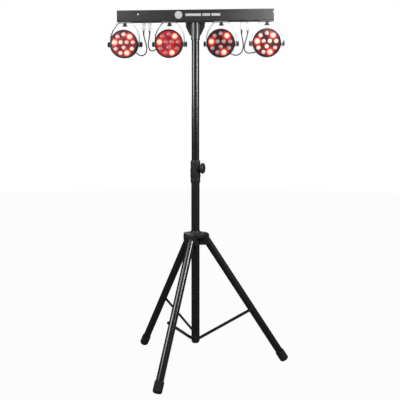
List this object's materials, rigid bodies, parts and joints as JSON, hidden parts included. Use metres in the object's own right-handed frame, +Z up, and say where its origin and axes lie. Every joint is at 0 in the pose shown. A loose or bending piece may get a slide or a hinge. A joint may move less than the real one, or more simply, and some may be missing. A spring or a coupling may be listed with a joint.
{
  "type": "par can light set",
  "caption": "Round LED stage par heads hung in tilting yokes under a cross bar, on a telescopic mast with a folding tripod.",
  "frame": {"origin": "on the floor, under the axis of the mast", "axes": "+Z up along the mast, X along the cross bar, the heads face -Y"},
  "size_m": [0.8214, 0.7461, 1.6105],
  "materials": {
    "mast_steel": "gloss",
    "black_plastic": "satin",
    "knob_plastic": "matte",
    "foot_rubber": "matte",
    "zinc_steel": "satin",
    "brace_steel": "satin",
    "bar_coat": "satin",
    "end_cap_plastic": "satin",
    "supply_case": "satin",
    "circuit_board": "satin",
    "clear_plug": "satin",
    "head_plastic": "satin",
    "lens_clear": "gloss",
    "led_board": "matte",
    "yoke_coat": "satin",
    "cord_sheath": "matte"
  },
  "bodies": {
    "column": {"lower_tube": "mast_steel", "base_hub": "black_plastic", "brace_foot_bolts": "zinc_steel", "mast_collar": "black_plastic"},
    "mast_lock": {"mast_lock_knob": "knob_plastic"},
    "leg_hub": {"leg_hub": "black_plastic", "leg_pivot_bolts": "zinc_steel"},
    "hub_lock": {"hub_lock_knob": "knob_plastic"},
    "mast": {"mast_tube": "mast_steel"},
    "bar": {"bar_housing": "bar_coat", "bar_end_caps": "end_cap_plastic", "rear_panel": "end_cap_plastic", "power_supply": "supply_case", "control_board": "circuit_board", "lamp_outlets": "end_cap_plastic", "lamp_plugs": "clear_plug", "hanging_bolts": "zinc_steel", "adapter_socket": "bar_coat", "adapter_screws": "zinc_steel", "cord_1": "cord_sheath", "cord_2": "cord_sheath", "cord_3": "cord_sheath", "cord_4": "cord_sheath"},
    "adapter_lock": {"adapter_lock_knob": "knob_plastic"},
    "leg_1": {"leg_tube_1": "mast_steel", "leg_knuckle_1": "black_plastic", "foot_1": "foot_rubber"},
    "brace_1": {"brace_1": "brace_steel"},
    "leg_2": {"leg_tube_2": "mast_steel", "leg_knuckle_2": "black_plastic", "foot_2": "foot_rubber"},
    "brace_2": {"brace_2": "brace_steel"},
    "leg_3": {"leg_tube_3": "mast_steel", "leg_knuckle_3": "black_plastic", "foot_3": "foot_rubber"},
    "brace_3": {"brace_3": "brace_steel"},
    "yoke_1": {"yoke_1": "yoke_coat"},
    "head_1": {"head_shell_1": "head_plastic", "lens_plate_1": "lens_clear", "led_board_1": "led_board"},
    "tilt_knobs_1": {"tilt_knobs_1": "knob_plastic"},
    "hang_knob_1": {"hang_knob_1": "knob_plastic"},
    "yoke_2": {"yoke_2": "yoke_coat"},
    "head_2": {"head_shell_2": "head_plastic", "lens_plate_2": "lens_clear", "led_board_2": "led_board"},
    "tilt_knobs_2": {"tilt_knobs_2": "knob_plastic"},
    "hang_knob_2": {"hang_knob_2": "knob_plastic"},
    "yoke_3": {"yoke_3": "yoke_coat"},
    "head_3": {"head_shell_3": "head_plastic", "lens_plate_3": "lens_clear", "led_board_3": "led_board"},
    "tilt_knobs_3": {"tilt_knobs_3": "knob_plastic"},
    "hang_knob_3": {"hang_knob_3": "knob_plastic"},
    "yoke_4": {"yoke_4": "yoke_coat"},
    "head_4": {"head_shell_4": "head_plastic", "lens_plate_4": "lens_clear", "led_board_4": "led_board"},
    "tilt_knobs_4": {"tilt_knobs_4": "knob_plastic"},
    "hang_knob_4": {"hang_knob_4": "knob_plastic"}
  },
  "joints": [
    {"name": "mast_slide", "type": "slide", "parent": "column", "child": "mast", "axis": [0, 0, 1], "range_m": [-0.51, 0.12]},
    {"name": "bar_swivel", "type": "hinge", "parent": "mast", "child": "bar", "pos_m": [0, 0, 1.502], "axis": [0, 0, 1], "continuous": true},
    {"name": "mast_lock_turn", "type": "hinge", "parent": "column", "child": "mast_lock", "pos_m": [0, 0, 0.912], "axis": [0.9763, -0.2164, 0], "range_deg": [0, 360]},
    {"name": "adapter_knob_turn", "type": "hinge", "parent": "bar", "child": "adapter_lock", "pos_m": [0, 0, 1.502], "axis": [0, 1, 0], "range_deg": [0, 360]},
    {"name": "hub_lock_turn", "type": "hinge", "parent": "leg_hub", "child": "hub_lock", "pos_m": [0, 0, 0.582], "axis": [0.284, 0.9588, 0], "range_deg": [0, 360]},
    {"name": "leg_hub_slide", "type": "slide", "parent": "column", "child": "leg_hub", "axis": [0, 0, 1], "range_m": [0, 0.21234]},
    {"name": "leg_fold_1", "type": "hinge", "parent": "leg_hub", "child": "leg_1", "pos_m": [-0.01278, -0.04315, 0.596], "axis": [0.9588, -0.284, 0], "range_deg": [0, 32.81]},
    {"name": "brace_fold_1", "type": "hinge", "parent": "column", "child": "brace_1", "pos_m": [-0.00341, -0.01151, 0.132], "axis": [-0.9588, 0.284, 0], "range_deg": [0, 55.74]},
    {"name": "leg_fold_2", "type": "hinge", "parent": "leg_hub", "child": "leg_2", "pos_m": [0.04376, 0.01051, 0.596], "axis": [-0.2334, 0.9724, 0], "range_deg": [0, 32.81]},
    {"name": "brace_fold_2", "type": "hinge", "parent": "column", "child": "brace_2", "pos_m": [0.01167, 0.0028, 0.132], "axis": [0.2334, -0.9724, 0], "range_deg": [0, 55.74]},
    {"name": "leg_fold_3", "type": "hinge", "parent": "leg_hub", "child": "leg_3", "pos_m": [-0.03098, 0.03264, 0.596], "axis": [-0.7254, -0.6884, 0], "range_deg": [0, 32.81]},
    {"name": "brace_fold_3", "type": "hinge", "parent": "column", "child": "brace_3", "pos_m": [-0.00826, 0.0087, 0.132], "axis": [0.7254, 0.6884, 0], "range_deg": [0, 55.74]},
    {"name": "yoke_pan_1", "type": "hinge", "parent": "bar", "child": "yoke_1", "pos_m": [-0.316, 0, 1.5605], "axis": [0, 0, 1], "range_deg": [-90, 90], "deforming": ["cord_1"]},
    {"name": "head_tilt_1", "type": "hinge", "parent": "yoke_1", "child": "head_1", "pos_m": [-0.316, 0, 1.4635], "axis": [1, 0, 0], "range_deg": [-90, 90], "deforming": ["cord_1"]},
    {"name": "tilt_knobs_turn_1", "type": "hinge", "parent": "head_1", "child": "tilt_knobs_1", "pos_m": [-0.316, 0, 1.4635], "axis": [1, 0, 0], "range_deg": [0, 360]},
    {"name": "hang_knob_turn_1", "type": "hinge", "parent": "bar", "child": "hang_knob_1", "pos_m": [-0.316, 0, 1.5505], "axis": [0, 0, 1], "range_deg": [0, 360]},
    {"name": "yoke_pan_2", "type": "hinge", "parent": "bar", "child": "yoke_2", "pos_m": [-0.115, 0, 1.5605], "axis": [0, 0, 1], "range_deg": [-90, 90], "deforming": ["cord_2"]},
    {"name": "head_tilt_2", "type": "hinge", "parent": "yoke_2", "child": "head_2", "pos_m": [-0.115, 0, 1.4635], "axis": [1, 0, 0], "range_deg": [-90, 90], "deforming": ["cord_2"]},
    {"name": "tilt_knobs_turn_2", "type": "hinge", "parent": "head_2", "child": "tilt_knobs_2", "pos_m": [-0.115, 0, 1.4635], "axis": [1, 0, 0], "range_deg": [0, 360]},
    {"name": "hang_knob_turn_2", "type": "hinge", "parent": "bar", "child": "hang_knob_2", "pos_m": [-0.115, 0, 1.5505], "axis": [0, 0, 1], "range_deg": [0, 360]},
    {"name": "yoke_pan_3", "type": "hinge", "parent": "bar", "child": "yoke_3", "pos_m": [0.115, 0, 1.5605], "axis": [0, 0, 1], "range_deg": [-90, 90], "deforming": ["cord_3"]},
    {"name": "head_tilt_3", "type": "hinge", "parent": "yoke_3", "child": "head_3", "pos_m": [0.115, 0, 1.4635], "axis": [1, 0, 0], "range_deg": [-90, 90], "deforming": ["cord_3"]},
    {"name": "tilt_knobs_turn_3", "type": "hinge", "parent": "head_3", "child": "tilt_knobs_3", "pos_m": [0.115, 0, 1.4635], "axis": [1, 0, 0], "range_deg": [0, 360]},
    {"name": "hang_knob_turn_3", "type": "hinge", "parent": "bar", "child": "hang_knob_3", "pos_m": [0.115, 0, 1.5505], "axis": [0, 0, 1], "range_deg": [0, 360]},
    {"name": "yoke_pan_4", "type": "hinge", "parent": "bar", "child": "yoke_4", "pos_m": [0.316, 0, 1.5605], "axis": [0, 0, 1], "range_deg": [-90, 90], "deforming": ["cord_4"]},
    {"name": "head_tilt_4", "type": "hinge", "parent": "yoke_4", "child": "head_4", "pos_m": [0.316, 0, 1.4635], "axis": [1, 0, 0], "range_deg": [-90, 90], "deforming": ["cord_4"]},
    {"name": "tilt_knobs_turn_4", "type": "hinge", "parent": "head_4", "child": "tilt_knobs_4", "pos_m": [0.316, 0, 1.4635], "axis": [1, 0, 0], "range_deg": [0, 360]},
    {"name": "hang_knob_turn_4", "type": "hinge", "parent": "bar", "child": "hang_knob_4", "pos_m": [0.316, 0, 1.5505], "axis": [0, 0, 1], "range_deg": [0, 360]}
  ],
  "couplings": [
    {"joint": "leg_fold_1", "follows": "leg_hub_slide", "rad_per_m": 2.696},
    {"joint": "leg_fold_2", "follows": "leg_hub_slide", "rad_per_m": 2.696},
    {"joint": "leg_fold_3", "follows": "leg_hub_slide", "rad_per_m": 2.696},
    {"joint": "brace_fold_1", "follows": "leg_hub_slide", "rad_per_m": 4.5808},
    {"joint": "brace_fold_2", "follows": "leg_hub_slide", "rad_per_m": 4.5808},
    {"joint": "brace_fold_3", "follows": "leg_hub_slide", "rad_per_m": 4.5808}
  ]
}
